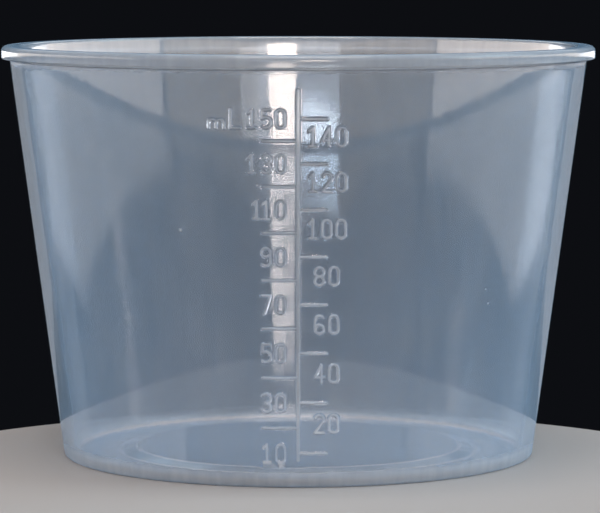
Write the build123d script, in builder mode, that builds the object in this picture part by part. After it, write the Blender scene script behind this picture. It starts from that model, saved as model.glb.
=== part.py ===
"""Graduated measuring cup, 150 mL, in millimetres.

The cup stands on the XY plane, centred on the Z axis, and its scale faces -Y. It is one moulding,
divided where its features meet: rim, wall, foot, floor and the raised marks of the scale are closed
solids that touch face to face.
"""

from build123d import *
from math import atan, cos, pi, radians, sin
import os

# Driving dimensions of the cup
rim_diameter = 78.0
cup_height = 54.0
base_diameter = 62.0
lip_thickness = 1.7
lip_overhang = 1.1
lip_top_round = 0.75
lip_lower_round = 0.25
lip_inner_round = 0.4
wall_thickness = 1.35
floor_thickness = 0.6
foot_height = 2.4
foot_width = 3.6
foot_outer_round = 0.5
foot_inner_round = 1.0
step_outer_radius = 23.6
step_inner_radius = 21.4
step_rise = 0.65

# Driving dimensions of the scale
volume_step = 10
largest_volume = 150
lowest_mark_height = 4.4
highest_mark_height = 46.2
mark_bow = 0.9
relief = 0.15
line_width = 0.6
line_bottom = 2.6
line_top = 50.0
tick_width = 0.4
left_tick_reach = 4.6
right_tick_reach = 3.7
stroke = 0.42
digit_width = 1.5
digit_height = 2.65
digit_pitch = 1.78
ones_pitch = 1.2
left_numeral_gap = 1.4
right_numeral_centre = 3.5
right_numeral_rise = 0.55
letter_m_width = 2.3
letter_m_height = 1.46
letter_l_width = 1.57
letter_l_height = 2.75
letter_m_left = -11.1
letter_l_left = -8.44

# Radii and slopes that follow from them
rim_radius = rim_diameter / 2
base_radius = base_diameter / 2
wall_top = cup_height - lip_thickness
wall_slope = (rim_radius - lip_overhang - base_radius) / wall_top
wall_width = wall_thickness / cos(atan(wall_slope))
foot_inner_radius = base_radius - foot_width


def outer_radius(height):
    """Radius of the wall's outer cone at a height."""
    return base_radius + wall_slope * height


def inner_radius(height):
    """Radius of the wall's inner cone at a height."""
    return outer_radius(height) - wall_width


def volume_below(height):
    """Millilitres held up to a height: a cone frustum on the floor, less the raised middle of the floor."""
    bottom = inner_radius(floor_thickness)
    top = inner_radius(height)
    frustum = pi * (height - floor_thickness) * (bottom**2 + bottom * top + top**2) / 3
    panel = pi * step_rise * ((step_inner_radius + step_outer_radius) / 2) ** 2
    return (frustum - panel) / 1000


def mark_height(volume):
    """Height of a volume's mark. The marks close up towards the rim, as the cup widens."""
    share = (volume - volume_step) / (largest_volume - volume_step)
    straight = lowest_mark_height + (highest_mark_height - lowest_mark_height) * share
    return straight + mark_bow * 4 * share * (1 - share)


# Centre lines of the numerals and of the unit, each in a cell with its lower left corner at the origin
width = digit_width - stroke
height = digit_height - stroke
half = width / 2
upper_y = height - half
m_width = letter_m_width - stroke
m_height = letter_m_height - stroke
m_arch = m_width / 4
l_width = letter_l_width - stroke
l_height = letter_l_height - stroke

one_stem_x = 0.56 * width
one_flag_x = 0.15 * width
one_flag_y = 0.8 * height
one_serif_end = 0.95 * width
two_hook_angle = 165
two_neck_angle = 40
two_neck_x = half + half * cos(radians(two_neck_angle))
two_neck_y = upper_y - half * sin(radians(two_neck_angle))
bowl = height / 4
open_bowl_angle = 145
four_stem_x = 0.74 * width
four_arm_y = 0.3 * height
four_arm_end = 1.08 * width
five_back_x = 0.08 * width
five_flag_end = 0.95 * width
five_waist_y = 0.54 * height
five_bowl = 0.3 * height
five_bowl_x = 0.46 * width
five_hook_angle = 130
five_bowl_angle = 265
six_hook_angle = 35
seven_foot_x = 0.35 * width

zero_curves = [
    Line((0, half), (0, upper_y)),
    Line((width, half), (width, upper_y)),
    CenterArc((half, upper_y), half, 0, 180),
    CenterArc((half, half), half, 180, 180),
]
six_curves = [
    CenterArc((half, half), half, 0, 180),
    CenterArc((half, half), half, 180, 180),
    Line((0, half), (0, upper_y)),
    CenterArc((half, upper_y), half, six_hook_angle, 180 - six_hook_angle),
]
nine_turn = Axis((half, height / 2, 0), (0, 0, 1))
glyph_curves = {
    "0": zero_curves,
    "1": [
        Line((one_stem_x, 0), (one_stem_x, height)),
        Line((one_stem_x, height), (one_flag_x, one_flag_y)),
        Line((one_flag_x, 0), (one_serif_end, 0)),
    ],
    "2": [
        CenterArc((half, upper_y), half, -two_neck_angle, two_hook_angle + two_neck_angle),
        Line((two_neck_x, two_neck_y), (0, 0)),
        Line((0, 0), (width, 0)),
    ],
    "3": [
        CenterArc((half, height - bowl), bowl, -90, open_bowl_angle + 90),
        CenterArc((half, bowl), bowl, -open_bowl_angle, open_bowl_angle + 90),
    ],
    "4": [
        Line((four_stem_x, 0), (four_stem_x, height)),
        Line((four_stem_x, height), (0, four_arm_y)),
        Line((0, four_arm_y), (four_arm_end, four_arm_y)),
    ],
    "5": [
        Line((five_back_x, height), (five_flag_end, height)),
        Line((five_back_x, height), (five_back_x, five_waist_y)),
        CenterArc((five_bowl_x, five_bowl), five_bowl, -five_hook_angle, five_bowl_angle),
    ],
    "6": six_curves,
    "7": [
        Line((0, height), (width, height)),
        Line((width, height), (seven_foot_x, 0)),
    ],
    "8": [
        CenterArc((half, height - bowl), bowl, 0, 180),
        CenterArc((half, height - bowl), bowl, 180, 180),
        CenterArc((half, bowl), bowl, 0, 180),
        CenterArc((half, bowl), bowl, 180, 180),
    ],
    "9": [curve.rotate(nine_turn, 180) for curve in six_curves],
    "m": [
        Line((0, 0), (0, m_height)),
        Line((m_width / 2, 0), (m_width / 2, m_height - m_arch)),
        Line((m_width, 0), (m_width, m_height - m_arch)),
        CenterArc((m_arch, m_height - m_arch), m_arch, 0, 180),
        CenterArc((3 * m_arch, m_height - m_arch), m_arch, 0, 180),
    ],
    "L": [
        Line((0, 0), (0, l_height)),
        Line((0, 0), (l_width, 0)),
    ],
}


def draw_glyph(character, left, bottom):
    """Draw a character in the open sketch, its outer lower left corner at the given place."""
    with Locations((left + stroke / 2, bottom + stroke / 2)):
        for curve in glyph_curves[character]:
            SlotArc(curve, stroke)


def digit_offsets(digits):
    """How far each digit's cell starts from the first one's. Neighbouring ones stand closer."""
    offsets = [0.0]
    for before, after in zip(digits, digits[1:]):
        offsets.append(offsets[-1] + (ones_pitch if before == after == "1" else digit_pitch))
    return offsets


def keep(piece, node):
    """Label a finished piece and write it to its own file."""
    piece.part.label = node
    export_step(piece.part, f"parts/{node}.step")


os.makedirs("parts", exist_ok=True)

# Rim: a flat flange, well rounded on top and nearly square below
with BuildPart() as rim_lip:
    with BuildSketch(Plane.XZ) as lip_section:
        with BuildLine():
            Polyline(
                (inner_radius(wall_top), wall_top),
                (rim_radius, wall_top),
                (rim_radius, cup_height),
                (inner_radius(cup_height), cup_height),
                close=True,
            )
        make_face()
        fillet(lip_section.vertices().sort_by_distance((rim_radius, cup_height))[0], lip_top_round)
        fillet(lip_section.vertices().sort_by_distance((rim_radius, wall_top))[0], lip_lower_round)
        inner_edge = (inner_radius(cup_height), cup_height)
        fillet(lip_section.vertices().sort_by_distance(inner_edge)[0], lip_inner_round)
    revolve(axis=Axis.Z)
keep(rim_lip, "rim_lip")

# Side wall: a cone of even thickness
with BuildPart() as tapered_wall:
    with BuildSketch(Plane.XZ):
        with BuildLine():
            Polyline(
                (outer_radius(foot_height), foot_height),
                (outer_radius(wall_top), wall_top),
                (inner_radius(wall_top), wall_top),
                (inner_radius(foot_height), foot_height),
                close=True,
            )
        make_face()
    revolve(axis=Axis.Z)
keep(tapered_wall, "tapered_wall")

# Foot: the corner that turns the wall into the floor, with a small round outside and a larger one inside
with BuildPart() as foot_ring:
    with BuildSketch(Plane.XZ) as foot_section:
        with BuildLine():
            Polyline(
                (foot_inner_radius, 0),
                (base_radius, 0),
                (outer_radius(foot_height), foot_height),
                (inner_radius(foot_height), foot_height),
                (inner_radius(floor_thickness), floor_thickness),
                (foot_inner_radius, floor_thickness),
                close=True,
            )
        make_face()
        fillet(foot_section.vertices().sort_by_distance((base_radius, 0))[0], foot_outer_round)
        inside_corner = (inner_radius(floor_thickness), floor_thickness)
        fillet(foot_section.vertices().sort_by_distance(inside_corner)[0], foot_inner_round)
    revolve(axis=Axis.Z)
keep(foot_ring, "foot_ring")

# Floor: a flat ring, a conical step, and a middle panel that stands clear of the table
with BuildPart() as floor_ring:
    with BuildSketch(Plane.XY):
        Circle(foot_inner_radius)
        Circle(step_outer_radius, mode=Mode.SUBTRACT)
    extrude(amount=floor_thickness)
keep(floor_ring, "floor_ring")

with BuildPart() as floor_step:
    with BuildSketch(Plane.XZ):
        with BuildLine():
            Polyline(
                (step_outer_radius, 0),
                (step_outer_radius, floor_thickness),
                (step_inner_radius, floor_thickness + step_rise),
                (step_inner_radius, step_rise),
                close=True,
            )
        make_face()
    revolve(axis=Axis.Z)
keep(floor_step, "floor_step")

with BuildPart() as floor_panel:
    with BuildSketch(Plane.XY.offset(step_rise)):
        Circle(step_inner_radius)
    extrude(amount=floor_thickness)
keep(floor_panel, "floor_panel")

# Relief: a raised mark is its flat outline, pushed through this thin skin on the wall's outer cone
with BuildPart() as relief_skin:
    with BuildSketch(Plane.XZ):
        with BuildLine():
            Polyline(
                (outer_radius(0), 0),
                (outer_radius(wall_top), wall_top),
                (outer_radius(wall_top) + relief, wall_top),
                (outer_radius(0) + relief, 0),
                close=True,
            )
        make_face()
    revolve(axis=Axis.Z)

with BuildPart() as scale_line:
    with BuildSketch(Plane.XZ):
        with Locations((0, (line_bottom + line_top) / 2)):
            Rectangle(line_width, line_top - line_bottom)
    extrude(amount=rim_radius)
    add(relief_skin.part, mode=Mode.INTERSECT)
keep(scale_line, "scale_line")

for volume in range(volume_step, largest_volume + volume_step, volume_step):
    height_here = mark_height(volume)
    odd_ten = volume // volume_step % 2 == 1
    digits = str(volume)
    offsets = digit_offsets(digits)
    digits_width = offsets[-1] + digit_width

    # Odd tens have the numeral left of the line and the tick right of it, even tens the other way round
    if odd_ten:
        tick_start = line_width / 2
        tick_end = right_tick_reach
        digits_left = -left_numeral_gap - digits_width
        digits_bottom = height_here - digit_height / 2
    else:
        tick_start = -left_tick_reach
        tick_end = -line_width / 2
        digits_left = right_numeral_centre - digits_width / 2
        digits_bottom = height_here - digit_height / 2 + right_numeral_rise

    with BuildPart() as tick:
        with BuildSketch(Plane.XZ):
            with Locations(((tick_start + tick_end) / 2, height_here)):
                Rectangle(tick_end - tick_start, tick_width)
        extrude(amount=rim_radius)
        add(relief_skin.part, mode=Mode.INTERSECT)
    keep(tick, f"tick_{volume:03d}")

    with BuildPart() as numeral:
        with BuildSketch(Plane.XZ):
            for digit, offset in zip(digits, offsets):
                draw_glyph(digit, digits_left + offset, digits_bottom)
        extrude(amount=rim_radius)
        add(relief_skin.part, mode=Mode.INTERSECT)
    keep(numeral, f"numeral_{volume:03d}")

unit_bottom = highest_mark_height - letter_l_height / 2
with BuildPart() as unit_mark:
    with BuildSketch(Plane.XZ):
        draw_glyph("m", letter_m_left, unit_bottom)
        draw_glyph("L", letter_l_left, unit_bottom)
    extrude(amount=rim_radius)
    add(relief_skin.part, mode=Mode.INTERSECT)
keep(unit_mark, "unit_mark")

print("brimful volume, mL:", round(volume_below(cup_height), 1))
for volume in range(volume_step, largest_volume + volume_step, volume_step):
    print("held below the mark, mL:", volume, round(volume_below(mark_height(volume)), 1))
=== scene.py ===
"""Graduated measuring cup: one continuous moulded skin with a raised scale, its plastic, and its stage."""

import math

import bpy
import numpy as np
from mathutils import Matrix, Vector


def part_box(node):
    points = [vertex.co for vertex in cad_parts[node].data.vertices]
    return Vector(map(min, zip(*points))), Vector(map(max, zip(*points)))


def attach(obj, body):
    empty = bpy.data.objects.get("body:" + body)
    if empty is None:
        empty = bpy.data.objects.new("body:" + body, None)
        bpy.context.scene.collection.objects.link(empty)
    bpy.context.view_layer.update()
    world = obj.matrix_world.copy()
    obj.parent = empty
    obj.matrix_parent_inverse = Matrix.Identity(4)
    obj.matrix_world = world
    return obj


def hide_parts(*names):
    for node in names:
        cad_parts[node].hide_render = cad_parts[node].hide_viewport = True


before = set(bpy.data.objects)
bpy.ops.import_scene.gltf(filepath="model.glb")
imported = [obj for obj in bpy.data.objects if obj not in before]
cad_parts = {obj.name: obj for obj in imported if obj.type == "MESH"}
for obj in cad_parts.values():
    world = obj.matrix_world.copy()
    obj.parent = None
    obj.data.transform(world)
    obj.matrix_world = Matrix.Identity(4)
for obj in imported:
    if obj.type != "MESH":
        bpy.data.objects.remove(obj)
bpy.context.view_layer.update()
MM = 0.001
SLOT = "natural_polypropylene"

# --------------------------------------------------------------------------------------------------
# Shape of the cup, read from the frame
# --------------------------------------------------------------------------------------------------
lip_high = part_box("rim_lip")[1]
wall_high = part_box("tapered_wall")[1]
foot_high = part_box("foot_ring")[1]
ring_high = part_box("floor_ring")[1]
step_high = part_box("floor_step")[1]
panel_low, panel_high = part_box("floor_panel")

rim_radius = lip_high.x
rim_height = lip_high.z
wall_top = wall_high.z
wall_slope = (wall_high.x - foot_high.x) / (wall_high.z - foot_high.z)
base_radius = foot_high.x - wall_slope * foot_high.z
floor_thickness = ring_high.z
step_rise = panel_low.z
step_outer = step_high.x
step_inner = panel_high.x

WALL = 1.35 * MM
LIP_TOP_ROUND = 0.75 * MM
LIP_LOWER_ROUND = 0.25 * MM
LIP_INNER_ROUND = 0.4 * MM
UNDER_LIP_ROUND = 0.35 * MM
FOOT_OUTER_ROUND = 0.5 * MM
FOOT_INNER_ROUND = 1.0 * MM
STEP_ROUND = 0.5 * MM

# The wall's width is measured level, so it is a little more than its thickness
wall_width = WALL * math.hypot(1.0, wall_slope)


def outer_radius(height):
    return base_radius + wall_slope * height


def inner_radius(height):
    return outer_radius(height) - wall_width


# --------------------------------------------------------------------------------------------------
# Relief: the height of the raised scale above the wall, as a function of the place seen from the front
# --------------------------------------------------------------------------------------------------
# A mark's edge is a soft shoulder, from EDGE_OUT outside its stroke to EDGE_IN inside. Marks are only
# looked for within REACH of their box.
RELIEF = 0.15 * MM
STROKE = 0.42 * MM
DIGIT_WIDTH = 1.5 * MM
DIGIT_HEIGHT = 2.65 * MM
DIGIT_PITCH = 1.78 * MM
ONES_PITCH = 1.2 * MM
M_WIDTH = 2.3 * MM
M_HEIGHT = 1.46 * MM
L_WIDTH = 1.57 * MM
EDGE_OUT = 0.02 * MM
EDGE_IN = 0.15 * MM
REACH = 0.5 * MM


def segment(ax, ay, bx, by):
    """Distance from points to a straight stroke's centre line."""

    def distance(x, y):
        dx, dy = bx - ax, by - ay
        along = np.clip(((x - ax) * dx + (y - ay) * dy) / (dx * dx + dy * dy), 0.0, 1.0)
        return np.hypot(x - ax - along * dx, y - ay - along * dy)

    return distance


def arc(cx, cy, radius, start, size):
    """Distance from points to the centre line of an arc, anticlockwise from start, both in degrees."""
    first, turn = math.radians(start), math.radians(size)
    ends = [(cx + radius * math.cos(a), cy + radius * math.sin(a)) for a in (first, first + turn)]

    def distance(x, y):
        on_arc = (np.arctan2(y - cy, x - cx) - first) % (2 * math.pi) <= turn
        to_ring = np.abs(np.hypot(x - cx, y - cy) - radius)
        to_ends = np.minimum(*[np.hypot(x - ex, y - ey) for ex, ey in ends])
        return np.where(on_arc, to_ring, to_ends)

    return distance


def turned(strokes, width, height):
    """The same strokes turned half a turn in their cell."""
    return [lambda x, y, s=s: s(width - x, height - y) for s in strokes]


def glyph_strokes():
    """Centre lines of the numerals, each in a cell with its lower left corner at the origin.

    The proportions are shares of the cell's width and height, less one stroke.
    """
    w, h = DIGIT_WIDTH - STROKE, DIGIT_HEIGHT - STROKE
    half, bowl, stem = w / 2, h / 4, 0.56 * w
    six = [
        arc(half, half, half, 0, 360),
        segment(0, half, 0, h - half),
        arc(half, h - half, half, 35, 145),
    ]
    neck = math.radians(40)
    return {
        "0": [
            segment(0, half, 0, h - half),
            segment(w, half, w, h - half),
            arc(half, h - half, half, 0, 180),
            arc(half, half, half, 180, 180),
        ],
        "1": [
            segment(stem, 0, stem, h),
            segment(stem, h, 0.15 * w, 0.8 * h),
            segment(0.15 * w, 0, 0.95 * w, 0),
        ],
        "2": [
            arc(half, h - half, half, -40, 205),
            segment(half + half * math.cos(neck), h - half - half * math.sin(neck), 0, 0),
            segment(0, 0, w, 0),
        ],
        "3": [arc(half, h - bowl, bowl, -90, 235), arc(half, bowl, bowl, -145, 235)],
        "4": [
            segment(0.74 * w, 0, 0.74 * w, h),
            segment(0.74 * w, h, 0, 0.3 * h),
            segment(0, 0.3 * h, 1.08 * w, 0.3 * h),
        ],
        "5": [
            segment(0.08 * w, h, 0.95 * w, h),
            segment(0.08 * w, h, 0.08 * w, 0.54 * h),
            arc(0.46 * w, 0.3 * h, 0.3 * h, -130, 265),
        ],
        "6": six,
        "7": [segment(0, h, w, h), segment(w, h, 0.35 * w, 0)],
        "8": [arc(half, h - bowl, bowl, 0, 360), arc(half, bowl, bowl, 0, 360)],
        "9": turned(six, w, h),
    }


def unit_strokes(width, height):
    """Centre lines of the unit mL, in a cell of the unit's own size less one stroke."""
    m_width, m_height = M_WIDTH - STROKE, M_HEIGHT - STROKE
    arch = m_width / 4
    l_left = width - (L_WIDTH - STROKE)
    return [
        segment(0, 0, 0, m_height),
        segment(m_width / 2, 0, m_width / 2, m_height - arch),
        segment(m_width, 0, m_width, m_height - arch),
        arc(arch, m_height - arch, arch, 0, 180),
        arc(3 * arch, m_height - arch, arch, 0, 180),
        segment(l_left, 0, l_left, height),
        segment(l_left, 0, width, 0),
    ]


def all_marks():
    """Every raised stroke as (distance function, left, bottom, half width, box it lies in)."""
    glyphs = glyph_strokes()
    marks = []
    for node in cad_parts:
        kind, _, name = node.partition("_")
        low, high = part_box(node)
        box = (low.x, low.z, high.x, high.z)
        if kind == "numeral":
            left = high.x - DIGIT_WIDTH + STROKE / 2
            after = None
            for digit in reversed(str(int(name))):
                if after:
                    left -= ONES_PITCH if digit == after == "1" else DIGIT_PITCH
                marks += [(s, left, low.z + STROKE / 2, STROKE / 2, box) for s in glyphs[digit]]
                after = digit
        elif kind == "unit":
            strokes = unit_strokes(high.x - low.x - STROKE, high.z - low.z - STROKE)
            marks += [(s, low.x + STROKE / 2, low.z + STROKE / 2, STROKE / 2, box) for s in strokes]
        elif kind == "tick":
            half = (high.z - low.z) / 2
            inner = 0.0 if low.x < 0 else high.x - half
            outer = low.x + half if low.x < 0 else 0.0
            marks.append((segment(outer, half, inner, half), 0.0, low.z, half, box))
        elif node == "scale_line":
            half = (high.x - low.x) / 2
            marks.append((segment(0, low.z + half, 0, high.z - half), 0.0, 0.0, half, box))
    return marks


marks = all_marks()


def relief_height(x, z):
    """How far the wall stands proud at places given as arrays of x and z."""
    height = np.zeros_like(x)
    for distance, left, bottom, half, (x0, z0, x1, z1) in marks:
        near = (x > x0 - REACH) & (x < x1 + REACH) & (z > z0 - REACH) & (z < z1 + REACH)
        if not near.any():
            continue
        inside = (half + EDGE_OUT - distance(x[near] - left, z[near] - bottom)) / (EDGE_OUT + EDGE_IN)
        rise = np.clip(inside, 0.0, 1.0)
        height[near] = np.maximum(height[near], rise * rise * (3 - 2 * rise))
    return height * RELIEF


# --------------------------------------------------------------------------------------------------
# The cup's skin: a lathe, whose outer wall is cut finer wherever the scale is raised
# --------------------------------------------------------------------------------------------------
# The scale's sector is divided into cells, and a cell that holds some of the scale into FINE by FINE faces
FINE = 11
SECTOR_CELL = 1.0 * MM
SECTOR_LEFT = -12.5 * MM
SECTOR_RIGHT = 7.5 * MM
CELL_MARGIN = 0.1 * MM
CELL_SAMPLES = 25
PLAIN_COLUMNS = 160
WALL_ROWS = 50
ROUND_STEPS = 8
SECTION_SPACING = 1.3 * MM
LIP_FADE = 0.8 * MM


def column_angles():
    """Angles of the cup's columns, from the front. Those across the scale come first and are closer."""
    middle = outer_radius(wall_top / 2)
    left, right = math.asin(SECTOR_LEFT / middle), math.asin(SECTOR_RIGHT / middle)
    count = round((right - left) * middle / SECTOR_CELL)
    scale = np.linspace(left, right, count + 1)
    plain = np.linspace(right, left + 2 * math.pi, PLAIN_COLUMNS + 1)
    return np.concatenate([scale, plain[1:-1]]), count


def run(start, end, steps):
    """Points along a straight stretch of the section, both ends left out."""
    return [
        (start[0] + (end[0] - start[0]) * i / steps, start[1] + (end[1] - start[1]) * i / steps)
        for i in range(1, steps)
    ]


def rounded(before, point, after, radius):
    """A corner of the section rounded to a radius, as points on the arc that is tangent to both sides."""
    p, a, b = Vector(point), Vector(before), Vector(after)
    to_a, to_b = (a - p).normalized(), (b - p).normalized()
    half = to_a.angle(to_b) / 2
    reach = radius / math.tan(half)
    centre = p + (to_a + to_b).normalized() * (radius / math.sin(half))
    first, last = p + to_a * reach - centre, p + to_b * reach - centre
    turn = first.angle(last)
    points = []
    for i in range(ROUND_STEPS + 1):
        t = i / ROUND_STEPS
        mixed = (first * math.sin((1 - t) * turn) + last * math.sin(t * turn)) / math.sin(turn)
        points.append(tuple(centre + mixed))
    return points


def section_above(start_height):
    """The cup's section from the outer wall round the lip, down the inside and to the floor's middle."""
    corners = [
        (outer_radius(start_height), start_height),
        (outer_radius(wall_top), wall_top),
        (rim_radius, wall_top),
        (rim_radius, rim_height),
        (inner_radius(rim_height), rim_height),
        (inner_radius(floor_thickness), floor_thickness),
        (step_outer, floor_thickness),
        (step_inner, floor_thickness + step_rise),
        (0.0, floor_thickness + step_rise),
    ]
    rounds = [
        UNDER_LIP_ROUND,
        LIP_LOWER_ROUND,
        LIP_TOP_ROUND,
        LIP_INNER_ROUND,
        FOOT_INNER_ROUND,
        STEP_ROUND,
        STEP_ROUND,
    ]
    return corners, rounds


def section_below():
    """The cup's section from the outer wall round the foot and under the floor to its middle."""
    corners = [
        (outer_radius(foot_high.z), foot_high.z),
        (base_radius, 0.0),
        (step_outer, 0.0),
        (step_inner, step_rise),
        (0.0, step_rise),
    ]
    return corners, [FOOT_OUTER_ROUND, STEP_ROUND, STEP_ROUND]


def trace(corners, rounds):
    """A section line through rounded corners, without its ends and with no gap over the spacing."""
    line = [corners[0]]
    for i, radius in enumerate(rounds):
        for point in rounded(corners[i], corners[i + 1], corners[i + 2], radius):
            gap = math.dist(line[-1], point)
            line += run(line[-1], point, max(1, math.ceil(gap / SECTION_SPACING)))
            line.append(point)
    gap = math.dist(line[-1], corners[-1])
    line += run(line[-1], corners[-1], max(1, math.ceil(gap / SECTION_SPACING)))
    return line[1:]


def cells_with_marks(angles, scale_columns, rows):
    """The wall's cells that hold some of the scale, as (row, column). The end rows stay plain."""
    cells = set()
    for row in range(1, WALL_ROWS - 1):
        z0, z1 = rows[row] - CELL_MARGIN, rows[row + 1] + CELL_MARGIN
        radius = outer_radius((z0 + z1) / 2)
        for column in range(scale_columns):
            x0 = radius * math.sin(angles[column]) - CELL_MARGIN
            x1 = radius * math.sin(angles[column + 1]) + CELL_MARGIN
            x, z = np.meshgrid(np.linspace(x0, x1, CELL_SAMPLES), np.linspace(z0, z1, CELL_SAMPLES))
            if relief_height(x, z).max() > 0:
                cells.add((row, column))
    return cells


def wall_faces(columns, refined):
    """Faces of the outer wall, and the index of each vertex by its fine column and fine row.

    Fine places are counted FINE to a cell. A plain cell next to a refined one takes in its edge
    vertices, so the skin has no gaps.
    """
    index = {}
    faces = []

    def place(i, j):
        """Index of the vertex at a fine place, which is a new one when it isn't there yet."""
        return index.setdefault((i % (columns * FINE), j), len(index))

    for row in range(WALL_ROWS):
        for column in range(columns):
            i0, j0 = column * FINE, row * FINE
            if (row, column) in refined:
                for i in range(i0, i0 + FINE):
                    for j in range(j0, j0 + FINE):
                        faces.append((place(i, j), place(i + 1, j), place(i + 1, j + 1), place(i, j + 1)))
                continue
            below = FINE if (row - 1, column) in refined else 1
            above = FINE if (row + 1, column) in refined else 1
            left = FINE if (row, (column - 1) % columns) in refined else 1
            right = FINE if (row, (column + 1) % columns) in refined else 1
            outline = [place(i0 + FINE * k // below, j0) for k in range(below)]
            outline += [place(i0 + FINE, j0 + FINE * k // right) for k in range(right)]
            outline += [place(i0 + FINE - FINE * k // above, j0 + FINE) for k in range(above)]
            outline += [place(i0, j0 + FINE - FINE * k // left) for k in range(left)]
            faces.append(tuple(outline))
    return faces, index


def wall_points(angles, rows, index):
    """Places of the outer wall's vertices, and how far each is raised, from 0 to 1."""
    ends = np.append(angles, angles[0] + 2 * math.pi)
    fine = np.array(list(index), float)
    column = (fine[:, 0] // FINE).astype(int)
    share = (fine[:, 0] % FINE) / FINE
    theta = ends[column] * (1 - share) + ends[column + 1] * share
    z = rows[0] + (rows[-1] - rows[0]) * fine[:, 1] / (WALL_ROWS * FINE)
    radius = outer_radius(z)
    in_front = np.cos(theta) > 0
    lift = np.where(in_front, relief_height(radius * np.sin(theta), z), 0.0)
    radius = radius + lift
    points = np.stack([radius * np.sin(theta), -radius * np.cos(theta), z], 1)
    return [tuple(p) for p in points], lift / RELIEF


def lathe(points, faces, angles, line, ring, outward):
    """Add rings of vertices and faces along a section line, from an existing ring to the axis."""
    columns = len(angles)
    for radius, height in line:
        base = len(points)
        points.extend((radius * math.sin(a), -radius * math.cos(a), height) for a in angles)
        fresh = list(range(base, base + columns))
        for k in range(columns):
            n = (k + 1) % columns
            quad = (ring[k], ring[n], fresh[n], fresh[k])
            faces.append(quad if outward else quad[::-1])
        ring = fresh
    middle = len(points)
    points.append((0.0, 0.0, line[-1][1]))
    for k in range(columns):
        triangle = (ring[k], ring[(k + 1) % columns], middle)
        faces.append(triangle if outward else triangle[::-1])


def add_shares(mesh, points, wall_raised):
    """Give each vertex what the plastic uses: its share raised, in the lip and on the cup's inside."""
    raised = np.zeros(len(points))
    raised[: len(wall_raised)] = wall_raised
    x, y, heights = np.array(points).T
    across = np.hypot(x, y)
    in_lip = np.clip((heights - wall_top + LIP_FADE) / LIP_FADE, 0.0, 1.0)
    over_step = across < (step_outer + step_inner) / 2
    floor_middle = floor_thickness / 2 + np.where(over_step, step_rise, 0.0)
    inside = (across < outer_radius(heights) - wall_width / 2) & (heights > floor_middle)
    for name, share in (("raised", raised), ("in_lip", in_lip), ("inside", inside)):
        attribute = mesh.attributes.new(name, "FLOAT", "POINT")
        attribute.data.foreach_set("value", share.astype(np.float32))


def build_cup():
    """The cup as one closed skin."""
    angles, scale_columns = column_angles()
    columns = len(angles)
    wall_end = wall_top - 3 * UNDER_LIP_ROUND
    rows = np.linspace(foot_high.z, wall_end, WALL_ROWS + 1)
    faces, index = wall_faces(columns, cells_with_marks(angles, scale_columns, rows))
    points, wall_raised = wall_points(angles, rows, index)
    top_ring = [index[c * FINE, WALL_ROWS * FINE] for c in range(columns)]
    bottom_ring = [index[c * FINE, 0] for c in range(columns)]
    lathe(points, faces, angles, trace(*section_above(wall_end)), top_ring, True)
    lathe(points, faces, angles, trace(*section_below()), bottom_ring, False)

    mesh = bpy.data.meshes.new("moulded_cup")
    mesh.from_pydata(points, [], faces)
    mesh.update()
    mesh.shade_smooth()
    add_shares(mesh, points, wall_raised)
    cup = bpy.data.objects.new("moulded_cup", mesh)
    bpy.context.scene.collection.objects.link(cup)
    return cup


# --------------------------------------------------------------------------------------------------
# Materials
# --------------------------------------------------------------------------------------------------
# Clearness is the share of light that goes through, and each haze below takes some of it away
CLEARNESS = 0.93
STREAK_HAZE = 0.05
CLOUD_HAZE = 0.03
SPECK_HAZE = 0.35
MARK_HAZE = 0.20
LIP_HAZE = 0.21
FLOOR_HAZE = 0.16
CORNER_TOP = floor_thickness + FOOT_INNER_ROUND
CORNER_FADE = 0.8 * MM

# Painted highlight lines in the floor, as (radius, half width, haze): warm hazy bands at its corner with
# the wall and at its step's two edges, standing in for light caught where the plastic curves. Each is at
# its full haze for LINE_CORE of its half width.
LINE_CORE = 0.3
FLOOR_HIGHLIGHT_LINES = (
    (inner_radius(floor_thickness) - 0.45 * MM, 0.50 * MM, 0.80),
    (step_outer, 0.36 * MM, 0.80),
    (step_inner, 0.36 * MM, 0.80),
)

# Roughness where the clouds are thin and where they are thick, and what the marks and the lip add to it
GLOSS = (0.035, 0.055)
MARK_ROUGHNESS = 0.10
LIP_ROUGHNESS = 0.05

# The part of each noise's values that matters
STREAK_RANGE = (0.35, 0.7)
CLOUD_RANGE = (0.3, 0.7)

STREAK_SCALE = 26.0
STREAK_STRETCH = (1.0, 1.0, 5.0)
CLOUD_SCALE = 90.0
GRAIN_SCALE = 1400.0
SPECK_SCALE = 210.0
SPECK_EDGE = (0.03, 0.055)
SPECK_RARITY = 0.93
STREAK_BUMP = 4.0

CLEAR_TINT = (0.88, 0.94, 1.0, 1.0)
CLOUD_TINT = (0.90, 0.945, 0.99, 1.0)
# Warm colour of the painted highlight rings in the floor
HIGHLIGHT_LINE_TINT = (1.0, 0.78, 0.60, 1.0)
HAZE_TINT = (0.31, 0.60, 0.97, 1.0)


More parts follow.
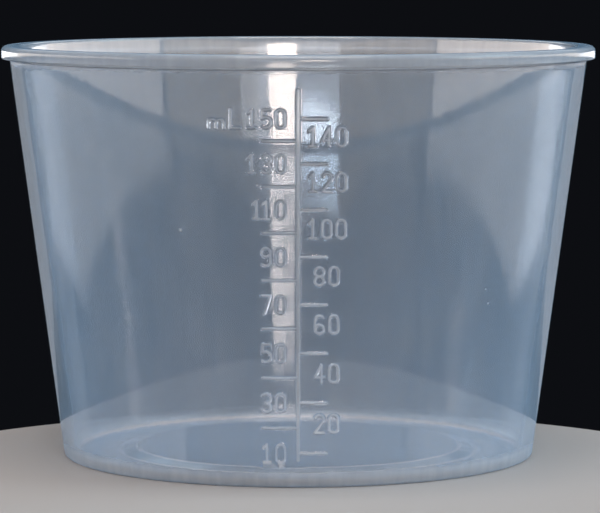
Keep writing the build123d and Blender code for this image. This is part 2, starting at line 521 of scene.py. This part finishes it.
class Nodes:
    """Short ways to add shader nodes to one material."""

    def __init__(self, mat):
        self.tree = mat.node_tree

    def add(self, kind, **settings):
        node = self.tree.nodes.new(kind)
        for key, value in settings.items():
            setattr(node, key, value)
        return node

    def link(self, source, target):
        self.tree.links.new(source, target)

    def feed(self, socket, value):
        """Set an input to a constant, or link it when the value is another node's output."""
        if isinstance(value, bpy.types.NodeSocket):
            self.link(value, socket)
        else:
            socket.default_value = value

    def math(self, operation, *values):
        node = self.add("ShaderNodeMath", operation=operation)
        for socket, value in zip(node.inputs, values):
            self.feed(socket, value)
        return node.outputs[0]

    def ramp(self, value, low, high, to_low, to_high):
        """A value mapped from one range to another and kept within it."""
        node = self.add("ShaderNodeMapRange")
        for socket, number in zip(node.inputs, (value, low, high, to_low, to_high)):
            self.feed(socket, number)
        return node.outputs[0]

    def mix(self, share, first, second):
        """One colour or another, or a blend of the two."""
        node = self.add("ShaderNodeMix", data_type="RGBA")
        for name, value in (("Factor", share), ("A", first), ("B", second)):
            self.feed(node.inputs[name], value)
        return node.outputs["Result"]

    def noise(self, place, scale, detail, stretch=None):
        if stretch:
            mapping = self.add("ShaderNodeMapping")
            self.link(place, mapping.inputs["Vector"])
            mapping.inputs["Scale"].default_value = stretch
            place = mapping.outputs[0]
        node = self.add("ShaderNodeTexNoise")
        self.link(place, node.inputs["Vector"])
        node.inputs["Scale"].default_value = scale
        node.inputs["Detail"].default_value = detail
        return node.outputs["Fac"]


def polypropylene():
    """Cloudy natural polypropylene: gloss over a bluish haze, with streaks, specks, frosted marks and
    painted highlight rings in the floor.
    """
    mat = bpy.data.materials.new(SLOT)
    mat.use_nodes = True
    shader = mat.node_tree.nodes["Principled BSDF"]
    n = Nodes(mat)
    object_place = n.add("ShaderNodeTexCoord").outputs["Object"]
    split = n.add("ShaderNodeSeparateXYZ")
    n.link(object_place, split.inputs[0])
    x, y, z = split.outputs
    around = n.math("ARCTAN2", x, y)
    wrapped = n.add("ShaderNodeCombineXYZ")
    n.link(n.math("COSINE", around), wrapped.inputs[0])
    n.link(n.math("SINE", around), wrapped.inputs[1])
    n.link(z, wrapped.inputs[2])
    raised, in_lip, inside = (
        n.add("ShaderNodeAttribute", attribute_name=name).outputs["Fac"]
        for name in ("raised", "in_lip", "inside")
    )

    streaks = n.noise(wrapped.outputs[0], STREAK_SCALE, detail=3.0, stretch=STREAK_STRETCH)
    clouds = n.noise(object_place, CLOUD_SCALE, detail=3.0)
    grain = n.noise(object_place, GRAIN_SCALE, detail=2.0)
    specks = n.add("ShaderNodeTexVoronoi", feature="F1")
    n.link(object_place, specks.inputs["Vector"])
    specks.inputs["Scale"].default_value = SPECK_SCALE
    speck = n.ramp(specks.outputs["Distance"], *SPECK_EDGE, 1.0, 0.0)
    chosen = n.add("ShaderNodeSeparateColor")
    n.link(specks.outputs["Color"], chosen.inputs[0])
    rare = n.math("GREATER_THAN", chosen.outputs[0], SPECK_RARITY)
    fleck = n.math("MULTIPLY", speck, rare)

    across = n.math("SQRT", n.math("ADD", n.math("MULTIPLY", x, x), n.math("MULTIPLY", y, y)))
    in_floor = n.ramp(z, CORNER_TOP, CORNER_TOP + CORNER_FADE, 1.0, 0.0)
    # Painted highlights: warm hazy rings at the floor's corner and step edges, standing in for caught light
    lines = 0.0
    for ring, half, strength in FLOOR_HIGHLIGHT_LINES:
        from_ring = n.math("ABSOLUTE", n.math("SUBTRACT", across, ring))
        band = n.ramp(from_ring, LINE_CORE * half, half, strength, 0.0)
        lines = n.math("ADD", lines, n.math("MULTIPLY", in_floor, band))

    streak_haze = n.ramp(streaks, *STREAK_RANGE, 0.0, STREAK_HAZE)
    cloud_haze = n.ramp(clouds, *CLOUD_RANGE, 0.0, CLOUD_HAZE)
    haze = n.math("ADD", streak_haze, cloud_haze)
    for share, amount in (
        (fleck, SPECK_HAZE),
        (raised, MARK_HAZE),
        (in_lip, LIP_HAZE),
        (in_floor, FLOOR_HAZE),
    ):
        haze = n.math("ADD", haze, n.math("MULTIPLY", share, amount))
    # The painted highlight rings add to the haze
    haze = n.math("ADD", haze, lines)
    n.link(n.math("SUBTRACT", CLEARNESS, haze), shader.inputs["Transmission Weight"])

    rough = n.ramp(clouds, *CLOUD_RANGE, *GLOSS)
    rough = n.math("ADD", rough, n.math("MULTIPLY", raised, MARK_ROUGHNESS))
    rough = n.math("ADD", rough, n.math("MULTIPLY", in_lip, LIP_ROUGHNESS))
    n.link(rough, shader.inputs["Roughness"])

    tint = n.mix(clouds, CLEAR_TINT, CLOUD_TINT)
    # The floor's painted highlight rings are tinted warm
    n.link(n.mix(lines, tint, HIGHLIGHT_LINE_TINT), shader.inputs["Base Color"])

    bump = n.add("ShaderNodeBump")
    bump.inputs["Strength"].default_value = 0.06
    bump.inputs["Distance"].default_value = 0.05 * MM
    n.link(n.math("ADD", n.math("MULTIPLY", streaks, STREAK_BUMP), grain), bump.inputs["Height"])
    n.link(bump.outputs[0], shader.inputs["Normal"])

    # The coat is on the inside only, where it strengthens what the far wall mirrors. The sheen is the
    # bluish haze.
    n.link(inside, shader.inputs["Coat Weight"])
    shader.inputs["IOR"].default_value = 1.49
    shader.inputs["Sheen Weight"].default_value = 0.4
    shader.inputs["Sheen Roughness"].default_value = 0.9
    shader.inputs["Sheen Tint"].default_value = HAZE_TINT
    return mat


def plain(name, colour, roughness):
    mat = bpy.data.materials.new(name)
    mat.use_nodes = True
    shader = mat.node_tree.nodes["Principled BSDF"]
    shader.inputs["Base Color"].default_value = (*colour, 1.0)
    shader.inputs["Roughness"].default_value = roughness
    return mat


cup = build_cup()
cup.data.materials.append(polypropylene())
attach(cup, "root")
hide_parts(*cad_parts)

# --------------------------------------------------------------------------------------------------
# Stage, light and camera
# --------------------------------------------------------------------------------------------------
FLOOR_RADIUS = 56 * MM
FLOOR_DEPTH = 6 * MM
FLOOR_BEHIND = 38 * MM
FLOOR_GAP = 0.03 * MM
FLOOR_PAINT = (0.47, 0.48, 0.50)
SURROUND = (0.004, 0.0045, 0.006, 1.0)

NEUTRAL = (1.0, 0.95, 0.94)
WARM = (1.0, 0.84, 0.72)
AMBER = (1.0, 0.74, 0.50)
COOL = (0.60, 0.88, 1.0)
KEY = (1.0, 0.80, 0.67)
TOP = (1.0, 0.90, 0.83)
PALE_BLUE = (0.84, 0.92, 1.0)
FRONT_DISTANCE = 1.2
FRONT_HEIGHT = 0.35
FRONT_TALL = 0.17

CAMERA_LENS = 211.7
CAMERA_PLACE = (0.000233, -0.4649, 0.0689)
CAMERA_DOWN = 5.269


def panel(name, centre, facing, along, width, height, radiance, colour):
    """A softbox of a given brightness that faces one direction and has its width along another."""
    data = bpy.data.lights.new(name, "AREA")
    data.shape = "RECTANGLE"
    data.size = width
    data.size_y = height
    data.energy = radiance * math.pi * width * height
    data.color = colour
    lamp = bpy.data.objects.new(name, data)
    back = -Vector(facing).normalized()
    side = Vector(along).normalized()
    turn = Matrix((side, back.cross(side), back)).transposed()
    lamp.matrix_world = Matrix.Translation(centre) @ turn.to_4x4()
    bpy.context.scene.collection.objects.link(lamp)


def add_floor():
    """A small round floor. It ends close behind the cup, so that little of it shows through the wall."""
    bpy.ops.mesh.primitive_cylinder_add(
        vertices=256,
        radius=FLOOR_RADIUS,
        depth=FLOOR_DEPTH,
        location=(0.0, FLOOR_BEHIND - FLOOR_RADIUS, -FLOOR_GAP - FLOOR_DEPTH / 2),
    )
    floor = bpy.context.object
    floor.name = "floor"
    floor.data.materials.append(plain("floor_paint", FLOOR_PAINT, 0.6))


def add_surround():
    """A dark surround, which clear plastic needs for its haze and reflections to show."""
    world = bpy.data.worlds.new("studio")
    bpy.context.scene.world = world
    world.use_nodes = True
    background = world.node_tree.nodes["Background"]
    background.inputs["Color"].default_value = SURROUND
    background.inputs["Strength"].default_value = 1.0


def add_side_lights(name, side, near, far, low):
    """Softboxes on one side: beside the cup, behind it, and low behind it for the wall's outline."""
    panel(
        name + "_softbox",
        centre=(0.60 * side, 0.16, 0.195),
        facing=(-side, 0, 0),
        along=(0, 1, -0.137),
        width=0.888,
        height=0.22,
        radiance=near,
        colour=WARM,
    )
    panel(
        name + "_rear",
        centre=(0.60 * side, 1.35, 0.055),
        facing=(-side, 0, 0),
        along=(0, 1, -0.053),
        width=1.50,
        height=0.13,
        radiance=far,
        colour=NEUTRAL,
    )
    panel(
        name + "_low_rear",
        centre=(0.50 * side, 1.10, -0.105),
        facing=(-0.50 * side, -1.10, 0.13),
        along=(1.10, -0.50 * side, 0),
        width=0.56,
        height=0.17,
        radiance=low,
        colour=NEUTRAL,
    )


def add_front_light(name, angle, width, radiance, colour):
    """A softbox in front of the cup and above the camera, at an angle round it."""
    turn = math.radians(angle)
    centre = (FRONT_DISTANCE * math.sin(turn), -FRONT_DISTANCE * math.cos(turn), FRONT_HEIGHT)
    inward = (-math.sin(turn), math.cos(turn), 0.0)
    along = (math.cos(turn), math.sin(turn), 0.0)
    panel(name, centre, inward, along, width, FRONT_TALL, radiance, colour)


def add_camera():
    data = bpy.data.cameras.new("camera")
    data.lens = CAMERA_LENS
    data.sensor_width = 36.0
    data.clip_end = 20.0
    camera = bpy.data.objects.new("camera", data)
    camera.location = CAMERA_PLACE
    camera.rotation_euler = (math.radians(90 - CAMERA_DOWN), 0.0, 0.0)
    bpy.context.scene.collection.objects.link(camera)
    bpy.context.scene.camera = camera


add_floor()
add_surround()
add_side_lights("right", 1, near=3.1, far=4.2, low=0.32)
add_side_lights("left", -1, near=3.4, far=6.3, low=0.30)
add_front_light("front_left", angle=-40, width=0.96, radiance=1.2, colour=AMBER)
add_front_light("front_middle", angle=0, width=0.80, radiance=2.9, colour=NEUTRAL)
add_front_light("front_right", angle=40, width=0.96, radiance=1.5, colour=AMBER)
panel(
    "high_right",
    centre=(0.9, 0.0, 0.75),
    facing=(-0.9, 0, -0.72),
    along=(0, 1, 0),
    width=0.8,
    height=0.5,
    radiance=3.1,
    colour=COOL,
)
panel(
    "overhead",
    centre=(0.0, -0.2, 0.9),
    facing=(0, 0.2, -0.86),
    along=(1, 0, 0),
    width=0.5,
    height=0.5,
    radiance=5.6,
    colour=TOP,
)
panel(
    "back_top",
    centre=(0.0, 1.1, 0.62),
    facing=(0, -1.1, -0.60),
    along=(1, 0, 0),
    width=1.2,
    height=0.35,
    radiance=0.9,
    colour=NEUTRAL,
)

# The key light, whose reflection runs down the scale, is two panels, one close behind the other
panel(
    "key_strip",
    centre=(0.14, -1.1, 0.27),
    facing=(0, 1, -0.2),
    along=(1, 0, 0),
    width=0.24,
    height=0.20,
    radiance=14.0,
    colour=KEY,
)
panel(
    "key_strip_behind",
    centre=(0.145, -1.14, 0.28),
    facing=(0, 1, -0.2),
    along=(1, 0, 0),
    width=0.25,
    height=0.208,
    radiance=5.0,
    colour=KEY,
)
panel(
    "cool_strip",
    centre=(-0.20, -1.1, 0.27),
    facing=(0, 1, -0.2),
    along=(1, 0, 0),
    width=0.34,
    height=0.045,
    radiance=12.0,
    colour=PALE_BLUE,
)
panel(
    "glow",
    centre=(0.38, -1.05, 0.30),
    facing=(-0.3, 1, -0.2),
    along=(1, 0.3, 0),
    width=0.24,
    height=0.06,
    radiance=2.4,
    colour=NEUTRAL,
)
bpy.context.scene.view_settings.view_transform = "Standard"
add_camera()
